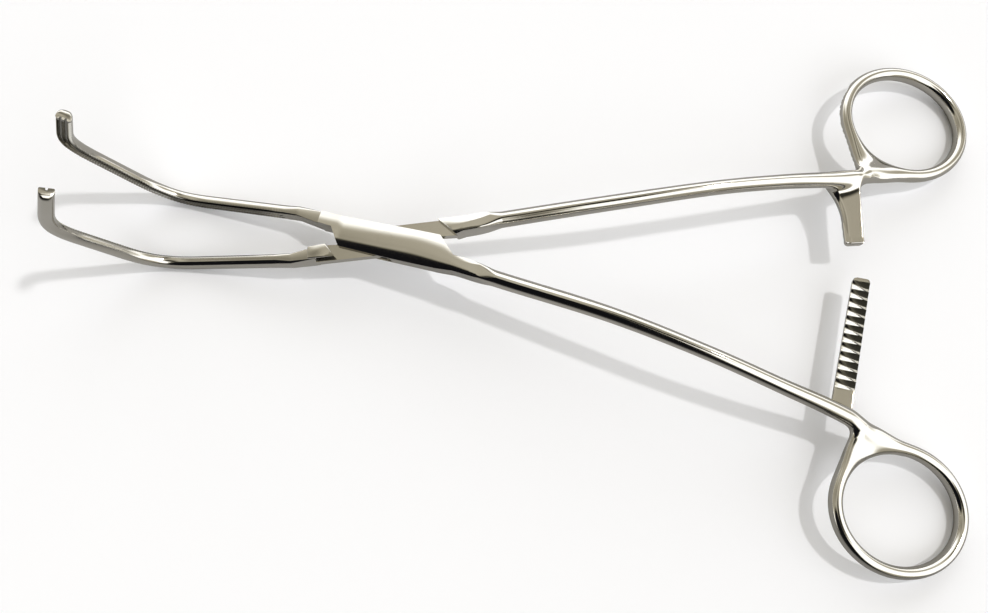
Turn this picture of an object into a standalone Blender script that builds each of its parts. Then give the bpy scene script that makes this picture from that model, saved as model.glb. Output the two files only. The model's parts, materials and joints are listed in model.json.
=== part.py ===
"""Vena cava clamp: a ring-handled clamp with a box lock, a long ratchet and jaws bent twice.

Both halves are drawn closed, in millimetres: the pin's axis is Z at the origin, the rings lie
towards +X and the jaws towards -X.  The half with the box has its jaw on +Y and its ring on -Y,
and the half with the tongue is drawn as its mirror image.  At the end the clamp is opened and
laid on its jaw bends and rings.
"""
import math

import bmesh
import bpy
import numpy as np
from mathutils import Matrix, Vector

MM = 0.001

# Opening of the clamp, in degrees between the two halves
REST_OPENING = 14.2
FULL_OPENING = 60.0

# Clearances
RUNNING_GAP = 0.3
PIN_GAP = 0.2
RATCHET_GAP = 0.4

# Box lock: the slanting ends of the box in plan, and its sides between them
BOX_HEIGHT = 6.0
BOX_FRONT_SLANT = ((-15.2, 0.6), (-12.3, -4.1))
BOX_REAR_SLANT = ((19.0, -0.9), (14.1, 4.0))
BOX_OUTER_SIDE = ((-12.0, 4.2), (-19.0, 4.4), (-19.0, 0.9))
BOX_INNER_SIDE = ((0.0, -4.7), (15.0, -5.2), (19.0, -5.1))
BOX_EDGE = 0.45
BOX_END = 19.0
LOFT_START = 13.0
TONGUE_HEIGHT = 2.2
TONGUE_RADIUS = 3.9
TONGUE_FLARE = 0.055
SHOULDER_END = 21.0
SHOULDER_FRONT_GAP = 1.5
SHOULDER_REAR_GAP = 1.0
SHOULDER_TAPER = 0.4
PIN_RADIUS = 1.7
CUT_SPARE = 2.0

# Jaw, along its middle line: pin to first bend, first to second bend, second bend to tip
JAW_REACH = 64.2
JAW_DROP = 1.5
JAW_MIDDLE = 34.7
JAW_TIP = 23.2
JAW_MIDDLE_ANGLE = 64.5
JAW_TIP_ANGLE = 119.7
BEND_1_RADIUS = 13.0
BEND_2_RADIUS = 11.0
JAW_ROOT = 26.0
JAW_BACK_RADIUS = 1.1
JAW_EDGE = 0.25
# Sections of a jaw: distance of its inner face from the middle plane, thickness and width
JAW_AT_LOFT_START = (0.4, 3.5, 5.8)
JAW_AT_BOX_END = (0.95, 3.4, 5.7)
JAW_AT_ROOT = (2.1, 3.0, 4.8)
JAW_AT_BEND_1 = (0.55, 2.9, 4.2)
JAW_AT_BEND_2 = (0.3, 2.85, 3.9)
JAW_AT_TIP = (0.15, 2.8, 3.6)
TIP_ROUNDING = 1.5
TIP_LOSS = 0.5
# Long grooves in the inner faces, between the rows of teeth
GROOVES_BOX_HALF = 2
GROOVES_TONGUE_HALF = 1
GROOVE_WIDTH = 0.55
GROOVE_FLOOR = 0.7
GROOVE_DEPTH = 0.4
GROOVE_START = 30.0
GROOVE_RUN_IN = 4.0

# Shank: middle line, width across and height, from the lock to the ring
SHANK_LINE = ((13.0, -2.8, 0.0), (20.0, -3.0, 0.0), (32.4, -4.54, -0.2), (62.0, -7.8, -1.1),
              (87.1, -11.6, -5.3), (105.7, -14.6, -11.6), (125.1, -17.6, -19.9),
              (131.0, -20.0, -23.3), (135.5, -20.6, -25.7), (140.5, -21.4, -28.6))
SHANK_SIZES = ((13.0, 4.1, 5.8, 9.0), (26.0, 4.2, 5.8, 8.0), (31.0, 4.3, 5.2, 3.2),
               (62.0, 4.1, 5.0, 2.8), (87.0, 3.8, 4.8, 2.6), (106.0, 3.9, 4.8, 2.6),
               (125.0, 4.6, 4.7, 2.8), (131.0, 4.4, 4.6, 2.8), (140.5, 2.8, 4.2, 2.8))
SHANK_STEPS = 4

# Finger ring, in its own sloping plane
RING_CENTRE = (142.5, -37.0, -29.8)
RING_SLOPE = 21.4
RING_HOLE = (33.2, 28.2)
RING_BAND = 3.4
RING_HEIGHT = 4.4
RING_ROUNDNESS = 2.8
RING_FLARE = 5.0
RING_FLARE_AT = 129.0
RING_FLARE_SPREAD = (20.0, 20.0)

# Ratchet
RATCHET_X = 123.7
RATCHET_WIDTH_ROOT = 5.4
RATCHET_WIDTH_END = 4.5
RATCHET_THICKNESS = 2.4
RATCHET_REACH = 21.1
RATCHET_SHORT_END = 0.8
RATCHET_TEETH = 12
RATCHET_SHORT_TEETH = 4
RATCHET_CORNER = 1.0
RATCHET_EDGE = 0.6
RATCHET_ROOT_FLARE = 1.1
RATCHET_ROOT_RISE = 3.2
RATCHET_ROOT_RAMP = 1.4
TOOTH_PITCH = 2.5
TOOTH_DEPTH = 0.85
TOOTH_STEEP = 0.3
TOOTH_LAND = 0.15
TOOTH_TIP_LAND = 0.9

# Smoothness
SECTION_POINTS = 20
RING_STEPS = 60
RING_SECTION_POINTS = 16
ROUND_SIDES = 48
BEND_STEP = 8.0
CORNER_STEPS = 4
SHARP_ANGLE = 35.0
BEVEL_ANGLE = 40.0
TILT_RANGE = (-20.0, 5.0)


def make_collection(name):
    collection = bpy.data.collections.new(name)
    bpy.context.scene.collection.children.link(collection)
    return collection


def clear_scene():
    for obj in list(bpy.data.objects):
        bpy.data.objects.remove(obj, do_unlink=True)


def object_from_bmesh(name, bm, collection):
    bmesh.ops.recalc_face_normals(bm, faces=bm.faces)
    mesh = bpy.data.meshes.new(name)
    bm.to_mesh(mesh)
    bm.free()
    obj = bpy.data.objects.new(name, mesh)
    collection.objects.link(obj)
    return obj


def as_cutter(obj):
    obj.hide_render = True
    obj.display_type = 'WIRE'
    return obj


def loft(name, rings, collection, closed=False):
    """Skin a row of equal-sized point rings; the ends are capped unless the row closes."""
    bm = bmesh.new()
    rows = [[bm.verts.new(Vector(p) * MM) for p in ring] for ring in rings]
    pairs = list(zip(rows, rows[1:]))
    if closed:
        pairs.append((rows[-1], rows[0]))
    for lower, upper in pairs:
        count = len(lower)
        for i in range(count):
            j = (i + 1) % count
            bm.faces.new((lower[i], lower[j], upper[j], upper[i]))
    if not closed:
        bm.faces.new(rows[0])
        bm.faces.new(rows[-1])
    return object_from_bmesh(name, bm, collection)


def prism(name, outline, low, high, collection):
    """A flat outline in XY, given height between two levels."""
    bm = bmesh.new()
    floor = [bm.verts.new((x * MM, y * MM, low * MM)) for x, y in outline]
    face = bm.faces.new(floor)
    lifted = bmesh.ops.extrude_face_region(bm, geom=[face])
    verts = [v for v in lifted["geom"] if isinstance(v, bmesh.types.BMVert)]
    bmesh.ops.translate(bm, verts=verts, vec=(0, 0, (high - low) * MM))
    return object_from_bmesh(name, bm, collection)


def cylinder(name, radius, height, collection, sides=ROUND_SIDES):
    bm = bmesh.new()
    bmesh.ops.create_cone(bm, cap_ends=True, segments=sides, radius1=radius * MM,
                          radius2=radius * MM, depth=height * MM)
    return object_from_bmesh(name, bm, collection)


def combine(obj, other, operation):
    modifier = obj.modifiers.new(operation.title() + "_" + other.name, 'BOOLEAN')
    modifier.operation = operation
    modifier.solver = 'EXACT'
    modifier.object = as_cutter(other)


def bevel_edges(obj, width, segments=2):
    modifier = obj.modifiers.new("Edges", 'BEVEL')
    modifier.width = width * MM
    modifier.segments = segments
    modifier.limit_method = 'ANGLE'
    modifier.angle_limit = math.radians(BEVEL_ANGLE)


def bake(obj):
    """Replace an object's mesh by the result of its modifiers."""
    bpy.context.view_layer.update()
    evaluated = obj.evaluated_get(bpy.context.evaluated_depsgraph_get())
    mesh = bpy.data.meshes.new_from_object(evaluated)
    obj.modifiers.clear()
    obj.data = mesh
    return obj


def mirrored(points, side):
    return [(x, y * side) + tuple(rest) for x, y, *rest in points]


def superellipse(count, exponent):
    """Unit outline between an ellipse (exponent 2) and a square (large exponent)."""
    points = []
    for i in range(count):
        angle = 2 * math.pi * (i + 0.5) / count
        c = math.cos(angle)
        s = math.sin(angle)
        radius = (abs(c) ** exponent + abs(s) ** exponent) ** (-1 / exponent)
        points.append((c * radius, s * radius))
    return points


def smooth_line(points, steps):
    """Points on a smooth curve through the given ones, with equal steps between each pair."""
    knots = [Vector(p) for p in points]
    first = 2 * knots[0] - knots[1]
    last = 2 * knots[-1] - knots[-2]
    knots = [first] + knots + [last]
    line = []
    for i in range(1, len(knots) - 2):
        a, b, c, d = knots[i - 1:i + 3]
        tangent_b = (c - a) * ((c - b).length / (c - a).length)
        tangent_c = (d - b) * ((c - b).length / (d - b).length)
        for k in range(steps):
            t = k / steps
            h1 = 2 * t ** 3 - 3 * t ** 2 + 1
            h2 = t ** 3 - 2 * t ** 2 + t
            h3 = -2 * t ** 3 + 3 * t ** 2
            h4 = t ** 3 - t ** 2
            line.append(h1 * b + h2 * tangent_b + h3 * c + h4 * tangent_c)
    line.append(knots[-2])
    return line


def shank_line():
    return smooth_line(SHANK_LINE, SHANK_STEPS)


def shank_size(x):
    columns = list(zip(*SHANK_SIZES))
    return [float(np.interp(x, columns[0], column)) for column in columns[1:]]


def shank(side, start, collection):
    line = [point for point in shank_line() if point.x >= start]
    rings = []
    for i, centre in enumerate(line):
        ahead = line[min(i + 1, len(line) - 1)] - line[max(i - 1, 0)]
        tangent = ahead.normalized()
        across = Vector((0, 0, 1)).cross(tangent).normalized()
        up = tangent.cross(across)
        width, height, exponent = shank_size(centre.x)
        outline = superellipse(SECTION_POINTS, exponent)
        ring = [centre + across * (u * width / 2) + up * (v * height / 2) for u, v in outline]
        rings.append(mirrored(ring, side))
    return loft("shank", rings, collection)


def jaw_path(start):
    """Middle line of a jaw in the XZ plane, with its slope, from a start near the lock."""
    drop = math.atan2(JAW_DROP, JAW_REACH)
    angles = [-drop, math.radians(JAW_MIDDLE_ANGLE), math.radians(JAW_TIP_ANGLE)]
    directions = [Vector((-math.cos(a), 0, math.sin(a))) for a in angles]
    bend_1 = Vector((-JAW_REACH, 0, -JAW_DROP))
    bend_2 = bend_1 + directions[1] * JAW_MIDDLE
    tip = bend_2 + directions[2] * JAW_TIP
    reaches = [start, (BOX_END + JAW_ROOT) / 2, JAW_ROOT, GROOVE_START, GROOVE_START + GROOVE_RUN_IN]
    if start < BOX_END:
        reaches.insert(1, BOX_END)
    stations = [(bend_1 - directions[0] * (JAW_REACH - reach), angles[0]) for reach in reaches]
    corners = ((bend_1, 0, BEND_1_RADIUS), (bend_2, 1, BEND_2_RADIUS))
    for corner, leg, radius in corners:
        turn = angles[leg + 1] - angles[leg]
        reach = radius * math.tan(turn / 2)
        entry = corner - directions[leg] * reach
        normal = Vector((math.sin(angles[leg]), 0, math.cos(angles[leg])))
        centre = entry + normal * radius
        count = max(2, round(math.degrees(turn) / BEND_STEP))
        for k in range(count + 1):
            angle = angles[leg] + turn * k / count
            arm = Vector((math.sin(angle), 0, math.cos(angle)))
            stations.append((centre - arm * radius, angle))
    for left in (1.0, 0.5, 0.2, 0.05, 0.0):
        stations.append((tip - directions[2] * (TIP_ROUNDING * left), angles[2]))
    return stations


def jaw_section(width, thickness, grooves, depth):
    """Outline of a jaw: u runs across its width, v from the inner face (0) to the back."""
    half = width / 2
    inner = [(-half, JAW_EDGE), (-half + JAW_EDGE, 0.0)]
    for g in range(grooves):
        middle = width * ((g + 1) / (grooves + 1) - 0.5)
        for edge, level in ((-1, 0.0), (-GROOVE_FLOOR, depth), (GROOVE_FLOOR, depth), (1, 0.0)):
            inner.append((middle + edge * GROOVE_WIDTH / 2, level))
    inner += [(half - JAW_EDGE, 0.0), (half, JAW_EDGE)]
    back = []
    radius = min(JAW_BACK_RADIUS, half)
    for k in range(CORNER_STEPS + 1):
        angle = math.pi / 2 * k / CORNER_STEPS
        back.append((half - radius + radius * math.cos(angle),
                     thickness - radius + radius * math.sin(angle)))
    back += [(-u, v) for u, v in reversed(back)]
    return inner + back


def jaw_sizes(s, total):
    """Inner face, thickness and width of a jaw at a length along it."""
    bend_2 = total - JAW_TIP
    bend_1 = bend_2 - JAW_MIDDLE
    reaches = (LOFT_START, BOX_END, JAW_ROOT, bend_1, bend_2, total)
    sections = (JAW_AT_LOFT_START, JAW_AT_BOX_END, JAW_AT_ROOT, JAW_AT_BEND_1, JAW_AT_BEND_2,
                JAW_AT_TIP)
    return [float(np.interp(s, reaches, column)) for column in zip(*sections)]


def jaw(side, start, grooves, collection):
    stations = jaw_path(start)
    lengths = [start]
    for (a, _), (b, _) in zip(stations, stations[1:]):
        lengths.append(lengths[-1] + (b - a).length)
    total = lengths[-1]
    rings = []
    for (centre, angle), s in zip(stations, lengths):
        face, thickness, width = jaw_sizes(s, total)
        past = max(0.0, 1 - (total - s) / TIP_ROUNDING)
        thickness *= 1 - TIP_LOSS * (1 - math.sqrt(max(0.0, 1 - past ** 2)))
        run_in = (s - GROOVE_START) / GROOVE_RUN_IN
        depth = GROOVE_DEPTH * min(1.0, max(0.05, run_in))
        across = Vector((math.sin(angle), 0, math.cos(angle)))
        outline = jaw_section(width, thickness, grooves, depth)
        ring = [centre + across * u + Vector((0, face + v, 0)) for u, v in outline]
        rings.append(mirrored(ring, side))
    return loft("jaw", rings, collection)


def ring_flare(degrees):
    away = (degrees - RING_FLARE_AT + 180) % 360 - 180
    spread = RING_FLARE_SPREAD[0] if away < 0 else RING_FLARE_SPREAD[1]
    return RING_FLARE * math.exp(-(away / spread) ** 2)


def finger_ring(side, collection):
    slope = math.radians(RING_SLOPE)
    along = Vector((math.cos(slope), 0, -math.sin(slope)))
    across = Vector((0, 1, 0))
    normal = Vector((math.sin(slope), 0, math.cos(slope)))
    hole_a, hole_b = (size / 2 for size in RING_HOLE)
    rings = []
    for k in range(RING_STEPS):
        degrees = 360 * k / RING_STEPS
        angle = math.radians(degrees)
        band = RING_BAND + ring_flare(degrees)
        c = math.cos(angle)
        s = math.sin(angle)
        outward = (along * (c / hole_a) + across * (s / hole_b)).normalized()
        inner = Vector(RING_CENTRE) + along * (hole_a * c) + across * (hole_b * s)
        middle = inner + outward * (band / 2)
        outline = superellipse(RING_SECTION_POINTS, RING_ROUNDNESS)
        ring = [middle + outward * (u * band / 2) + normal * (v * RING_HEIGHT / 2)
                for u, v in outline]
        rings.append(mirrored(ring, side))
    return loft("ring", rings, collection, closed=True)


def ratchet_level():
    """Level of the sliding face between the two ratchet arms, just under the shanks."""
    far_edge = RATCHET_X + RATCHET_WIDTH_ROOT / 2
    line = shank_line()
    z = np.interp(far_edge, [p.x for p in line], [p.z for p in line])
    return float(z) - shank_size(far_edge)[1] / 2 - RATCHET_GAP / 2


def shank_y(x):
    line = shank_line()
    return float(np.interp(x, [p.x for p in line], [p.y for p in line]))


def toothed_edge(start, count, level, depth):
    """Saw teeth along Y: each notch drops at its outer end and climbs back along a ramp."""
    points = []
    for k in range(count):
        outer = start - k * TOOTH_PITCH
        points.append((outer, level))
        points.append((outer - TOOTH_STEEP, level - depth))
        points.append((outer - TOOTH_PITCH + TOOTH_LAND, level))
    return points


def side_prism(name, outline, low, high, collection):
    """An outline in YZ, given width between two X values."""
    bm = bmesh.new()
    face = bm.faces.new([bm.verts.new((low * MM, y * MM, z * MM)) for y, z in outline])
    lifted = bmesh.ops.extrude_face_region(bm, geom=[face])
    verts = [v for v in lifted["geom"] if isinstance(v, bmesh.types.BMVert)]
    bmesh.ops.translate(bm, verts=verts, vec=((high - low) * MM, 0, 0))
    return object_from_bmesh(name, bm, collection)


def ratchet_plan(root, end):
    """Plan of an arm, seen along the pin's axis, tapering from a flared root to a round end."""
    wide = RATCHET_WIDTH_ROOT / 2
    narrow = RATCHET_WIDTH_END / 2
    flare = RATCHET_ROOT_FLARE
    right = [(wide + flare, root), (wide + flare, root + flare), (wide + flare / 3, root + 2 * flare),
             (wide, root + 3 * flare)]
    for k in range(CORNER_STEPS + 1):
        angle = math.pi / 2 * k / CORNER_STEPS
        right.append((narrow - RATCHET_CORNER * (1 - math.cos(angle)),
                      end - RATCHET_CORNER * (1 - math.sin(angle))))
    left = [(-x, y) for x, y in reversed(right)]
    return [(RATCHET_X + x, y) for x, y in right + left]


def ratchet_arm(name, outline, root, end, collection):
    """Cut an arm, drawn from the side, to its tapering plan."""
    levels = [z for _, z in outline]
    outer = RATCHET_WIDTH_ROOT / 2 + RATCHET_ROOT_FLARE + CUT_SPARE
    arm = side_prism(name, outline, RATCHET_X - outer, RATCHET_X + outer, collection)
    plan = prism(name + "_plan", ratchet_plan(root, end), min(levels) - CUT_SPARE,
                 max(levels) + CUT_SPARE, collection)
    combine(arm, plan, 'INTERSECT')
    return bake(arm)


def long_ratchet(collection):
    """Arm on the box half, under the other shank when closed, with its teeth upwards."""
    top = ratchet_level() - RATCHET_GAP / 2
    bottom = top - RATCHET_THICKNESS
    root = shank_y(RATCHET_X)
    edge = root + shank_size(RATCHET_X)[0] / 2
    end = RATCHET_REACH
    outline = [(root, bottom + 2 * RATCHET_EDGE), (edge, bottom), (end - RATCHET_EDGE, bottom),
               (end, bottom + RATCHET_EDGE), (end, top)]
    outline += toothed_edge(end - TOOTH_TIP_LAND, RATCHET_TEETH, top, TOOTH_DEPTH)
    outline += [(edge + RATCHET_ROOT_RAMP, top), (edge, top + RATCHET_ROOT_RISE / 2),
                (root, top + RATCHET_ROOT_RISE)]
    return ratchet_arm("long_ratchet", outline, root, end, collection)


def short_ratchet(collection):
    """Arm on the tongue half, over the long one, with its teeth downwards."""
    bottom = ratchet_level() + RATCHET_GAP / 2
    top = bottom + RATCHET_THICKNESS
    root = shank_y(RATCHET_X)
    edge = root + shank_size(RATCHET_X)[0] / 2
    end = RATCHET_SHORT_END
    teeth = toothed_edge(end - TOOTH_TIP_LAND, RATCHET_SHORT_TEETH, 0, TOOTH_DEPTH)
    outline = [(root, bottom + RATCHET_EDGE), (root, top), (end, top), (end, bottom)]
    outline += [(y, bottom - z) for y, z in teeth]
    outline.append((edge, bottom))
    arm = ratchet_arm("short_ratchet", outline, root, end, collection)
    for vertex in arm.data.vertices:
        vertex.co.y *= -1
    arm.data.flip_normals()
    return arm


def slant_x(slant, y):
    (x1, y1), (x2, y2) = slant
    return x1 + (x2 - x1) * (y - y1) / (y2 - y1)


def turned(points, degrees):
    c = math.cos(math.radians(degrees))
    s = math.sin(math.radians(degrees))
    return [(x * c - y * s, x * s + y * c) for x, y in points]


def tongue_strip(direction, inner, spare, reach):
    """Plan of the tongue's strip from the pin to the front (-1) or the rear (1), with spare round it."""
    near = TONGUE_RADIUS + spare
    far = near + TONGUE_FLARE * reach
    return [(0.0, direction * inner), (0.0, direction * near), (direction * reach, direction * far),
            (direction * reach, direction * inner)]


def box_body(collection):
    """The box: one block of full height, with the tongue's way cut through it."""
    outline = [*BOX_FRONT_SLANT, *BOX_INNER_SIDE, *BOX_REAR_SLANT, *BOX_OUTER_SIDE]
    body = prism("box_body", outline, -BOX_HEIGHT / 2, BOX_HEIGHT / 2, collection)
    bevel_edges(body, BOX_EDGE)
    bake(body)
    slot = TONGUE_HEIGHT / 2 + RUNNING_GAP
    reach = SHOULDER_END + CUT_SPARE
    eye = cylinder("tongue_way", TONGUE_RADIUS + RUNNING_GAP, 2 * slot, collection)
    combine(body, eye, 'DIFFERENCE')
    for direction in (-1, 1):
        closed = [(0, 0), (direction * reach, 0), (direction * reach, direction * reach),
                  (0, direction * reach)]
        opened = turned(tongue_strip(direction, 0.0, RUNNING_GAP, reach), FULL_OPENING)
        for plan in (closed, opened):
            combine(body, prism("strip_way", plan, -slot, slot, collection), 'DIFFERENCE')
    return bake(body)


def shoulder(name, slant, gap, direction, sides, collection):
    """Block of full height behind one end of the box, as wide as the arm that leaves it."""
    inner, outer = sides
    near = slant_x(slant, direction * RUNNING_GAP) + direction * gap
    far = slant_x(slant, direction * outer) + direction * gap
    end = direction * SHOULDER_END
    corner = direction * (outer - SHOULDER_TAPER)
    outline = [(near, direction * RUNNING_GAP), (far, corner), (end, direction * outer),
               (end, direction * inner)]
    block = prism(name, outline, -BOX_HEIGHT / 2, BOX_HEIGHT / 2, collection)
    bevel_edges(block, BOX_EDGE)
    return bake(block)


def tongue_body(collection):
    """The tongue: a thin middle layer between two shoulders of full height."""
    thin = TONGUE_HEIGHT / 2
    body = cylinder("tongue_body", TONGUE_RADIUS, TONGUE_HEIGHT, collection)
    for direction in (-1, 1):
        plan = tongue_strip(direction, RUNNING_GAP, 0.0, BOX_END)
        combine(body, prism("tongue_strip", plan, -thin, thin, collection), 'UNION')
    face, thickness, _ = JAW_AT_BOX_END
    front = (face, face + thickness)
    middle = -shank_y(SHOULDER_END)
    half = shank_size(SHOULDER_END)[0] / 2
    rear = (middle - half, middle + half)
    combine(body, shoulder("front_shoulder", BOX_FRONT_SLANT, SHOULDER_FRONT_GAP, -1, front,
                           collection), 'UNION')
    combine(body, shoulder("rear_shoulder", BOX_REAR_SLANT, SHOULDER_REAR_GAP, 1, rear,
                           collection), 'UNION')
    return bake(body)


def fuse(name, base, pieces, bore, collection):
    """Join the forging's parts, bore it for the pin and give it smooth faces."""
    for piece in pieces:
        combine(base, piece, 'UNION')
    combine(base, bore, 'DIFFERENCE')
    bake(base)
    base.name = name
    base.data.name = name
    for other in list(base.users_collection):
        other.objects.unlink(base)
    collection.objects.link(base)
    base.hide_render = False
    base.display_type = 'TEXTURED'
    base.data.shade_smooth()
    base.data.set_sharp_from_angle(angle=math.radians(SHARP_ANGLE))
    return base


def steel(name, colour, roughness):
    material = bpy.data.materials.new(name)
    material.use_nodes = True
    shader = material.node_tree.nodes["Principled BSDF"]
    shader.inputs["Base Color"].default_value = (*colour, 1.0)
    shader.inputs["Metallic"].default_value = 1.0
    shader.inputs["Roughness"].default_value = roughness
    return material


def box_half(parts, cutters):
    pieces = [jaw(1, LOFT_START, GROOVES_BOX_HALF, cutters), shank(1, LOFT_START, cutters),
              finger_ring(1, cutters), long_ratchet(cutters)]
    bore = cylinder("box_bore", PIN_RADIUS + PIN_GAP, BOX_HEIGHT + CUT_SPARE, cutters)
    half = fuse("box_half", box_body(cutters), pieces, bore, parts)
    half.data.materials.append(steel("box_half_steel", (0.60, 0.59, 0.56), 0.22))
    return half


def tongue_half(parts, cutters):
    pieces = [jaw(-1, BOX_END, GROOVES_TONGUE_HALF, cutters), shank(-1, BOX_END, cutters),
              finger_ring(-1, cutters), short_ratchet(cutters)]
    bore = cylinder("tongue_bore", PIN_RADIUS + RUNNING_GAP, BOX_HEIGHT + CUT_SPARE, cutters)
    half = fuse("tongue_half", tongue_body(cutters), pieces, bore, parts)
    half.data.materials.append(steel("tongue_half_steel", (0.58, 0.57, 0.54), 0.22))
    return half


def box_pin(parts):
    pin = cylinder("box_pin", PIN_RADIUS, BOX_HEIGHT, parts)
    pin.data.shade_smooth()
    pin.data.set_sharp_from_angle(angle=math.radians(SHARP_ANGLE))
    pin.data.materials.append(steel("box_pin_steel", (0.64, 0.63, 0.60), 0.18))
    return pin


def coordinates(obj, turn):
    """Points of an object in the clamp's frame, in metres."""
    count = len(obj.data.vertices)
    flat = np.empty(count * 3)
    obj.data.vertices.foreach_get("co", flat)
    c = math.cos(turn)
    s = math.sin(turn)
    matrix = np.array(((c, -s, 0), (s, c, 0), (0, 0, 1)))
    return flat.reshape(count, 3) @ matrix.T


def tilted(points, tilt):
    c = math.cos(tilt)
    s = math.sin(tilt)
    return points @ np.array(((c, 0, s), (0, 1, 0), (-s, 0, c))).T


def lay_down(clamp, halves):
    """Tilt the clamp so that its jaw bends and rings both touch the table, and centre it."""
    points = np.vstack([coordinates(obj, turn) for obj, turn in halves])
    low, high = (math.radians(angle) for angle in TILT_RANGE)
    for _ in range(40):
        tilt = (low + high) / 2
        laid = tilted(points, tilt)
        jaw_end = laid[laid[:, 0] < 0, 2].min()
        ring_end = laid[laid[:, 0] > 0, 2].min()
        if ring_end > jaw_end:
            low = tilt
        else:
            high = tilt
    laid = tilted(points, tilt)
    middle = (laid.min(axis=0) + laid.max(axis=0)) / 2
    clamp.rotation_euler = (0, tilt, 0)
    clamp.location = (-middle[0], -middle[1], -laid[:, 2].min())


def build():
    clear_scene()
    parts = make_collection("vena_cava_clamp")
    cutters = make_collection("cutters")
    clamp = bpy.data.objects.new("clamp_frame", None)
    parts.objects.link(clamp)
    turn = math.radians(REST_OPENING / 2)
    first = box_half(parts, cutters)
    second = tongue_half(parts, cutters)
    pin = box_pin(parts)
    for obj, angle in ((first, -turn), (second, turn), (pin, -turn)):
        obj.rotation_euler = (0, 0, angle)
        obj.parent = clamp
    lay_down(clamp, ((first, -turn), (second, turn)))
    bpy.context.view_layer.update()


build()
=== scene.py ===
import json
import math

import bmesh
import bpy
import numpy as np
from mathutils import Matrix, Vector


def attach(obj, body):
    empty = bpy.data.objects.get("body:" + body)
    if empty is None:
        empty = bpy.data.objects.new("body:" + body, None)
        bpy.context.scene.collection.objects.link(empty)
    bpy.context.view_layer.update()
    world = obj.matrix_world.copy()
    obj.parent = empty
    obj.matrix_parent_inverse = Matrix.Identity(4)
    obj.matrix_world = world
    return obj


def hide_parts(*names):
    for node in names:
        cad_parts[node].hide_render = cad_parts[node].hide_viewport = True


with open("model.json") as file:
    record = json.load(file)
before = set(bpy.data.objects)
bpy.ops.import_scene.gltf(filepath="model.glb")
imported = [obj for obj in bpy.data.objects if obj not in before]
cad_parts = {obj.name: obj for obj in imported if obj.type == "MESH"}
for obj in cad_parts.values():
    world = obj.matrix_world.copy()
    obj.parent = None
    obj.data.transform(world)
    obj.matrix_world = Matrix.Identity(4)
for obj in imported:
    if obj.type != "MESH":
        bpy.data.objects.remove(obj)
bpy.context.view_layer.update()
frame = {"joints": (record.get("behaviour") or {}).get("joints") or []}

# The clamp's halves are drawn closed, in millimetres, about the pin: rings towards +X, jaws
# towards -X, the half with the box having its jaw on +Y.  The other half is its mirror image.
# A side of 1 means the half with the box, and -1 the half with the tongue.
HINGE = frame["joints"][0]
PIN_AT = Vector(HINGE["pos_m"])
TILT = math.atan2(HINGE["axis"][0], HINGE["axis"][2])
HALF_OPENING = math.radians(-HINGE["range_deg"][0] / 2)
MM = 0.001

# Box lock
BOX_HEIGHT = 6.0
BOX_FRONT_SLANT = ((-15.2, 0.6), (-12.3, -4.1))
BOX_REAR_SLANT = ((19.0, -0.9), (14.1, 4.0))
BOX_OUTER_SIDE = ((-12.0, 4.2), (-19.0, 4.4), (-19.0, 0.9))
BOX_INNER_SIDE = ((0.0, -4.7), (15.0, -5.2), (19.0, -5.1))
BOX_EDGE = 0.2
BOX_END = 19.0
LOFT_START = 13.0
RUNNING_GAP = 0.3
FULL_OPENING = 60.0
TONGUE_HEIGHT = 2.2
TONGUE_RADIUS = 3.9
TONGUE_FLARE = 0.055
SHOULDER_END = 21.0
SHOULDER_FRONT_GAP = 1.5
SHOULDER_REAR_GAP = 1.0
SHOULDER_TAPER = 0.4
SHOULDER_EDGE = 0.3
PIN_RADIUS = 1.885
PIN_RECESS = 0.02
BORE_RADIUS = 1.9
BORE_SPARE = 4

# Crown of the lock: its highest line, how the top falls off across it, and where it ends ahead.
# Values that differ between the halves are given by side.
CROWN_AHEAD = {1: -0.9, -1: 0.3}
CROWN_INSET = {1: 0.2, -1: 0.9}
CROWN_SHANK_START = 14.0
CROWN_SHIFT_START = 6.0
CROWN_SHIFT_LENGTH = 18.0
CROWN_EDGE_SLOPE = 0.62
CROWN_FRONT_SLOPE = 0.25
CROWN_LAND = 0.3
CROWN_CURVE = 0.035
CROWN_CURVE_GAIN = 0.065
CROWN_BOX_SLOPE = 0.24
CROWN_UPPER_SLOPE = 0.36
CROWN_CHANGE_START = 15.0
CROWN_CHANGE_LENGTH = 9.0
CROWN_MOST_DROP = 2.4
CROWN_START = -24.0
CROWN_END = 36.0
CROWN_REACH = (-120.0, 60.0)
CROWN_HALF_WIDTH = 12
CROWN_RISES = ((-13.0, 0.13), (-22.0, 2.0))

# Jaw
JAW_REACH = 64.2
JAW_DROP = 1.5
JAW_MIDDLE = 34.7
JAW_TIP = 23.12
JAW_MIDDLE_ANGLE = 64.5
JAW_TIP_ANGLE = 119.7
JAW_STEP = 0.25
BEND_1_RADIUS = 13.0
BEND_2_RADIUS = 11.0
BEND_STEPS = 24
BEND_SOFTNESS = 20
JAW_ROOT = 26.0
JAW_BACK_RADIUS = 1.6
JAW_EDGE = 0.75
JAW_ROUND_LEAD = 1.0
JAW_ROUND_LENGTH = 12.0
JAW_AT_LOFT_START = (0.4, 3.5, 5.8)
JAW_AT_BOX_END = (0.95, 3.4, 5.7)
JAW_AT_ROOT = (2.1, 3.0, 4.8)
JAW_AT_BEND_1 = (0.55, 2.9, 4.2)
JAW_AT_BEND_2 = (0.3, 2.85, 3.9)
JAW_AT_TIP = (0.15, 2.8, 3.6)
TIP_ROUNDING = 1.5
TIP_LOSS = 0.5
GROOVE_WIDTH = 0.6
GROOVE_DEPTH = 0.5
GROOVE_START = 30.0
GROOVE_RUN_IN = 4
JAW_TOOTH_PITCH = 0.8
JAW_TOOTH_DEPTH = 0.16

# Painted shade on the jaws' inward, toothed faces, darkening them as the shade and dark reflections
# between the jaws would: the least inward slope of a face, and how soon it is full
TOOTHED_LEAST = 0.15
TOOTHED_GAIN = 2.2
TOOTHED_RUN_IN = 8
TOOTHED_SHADE = 0.30

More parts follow.
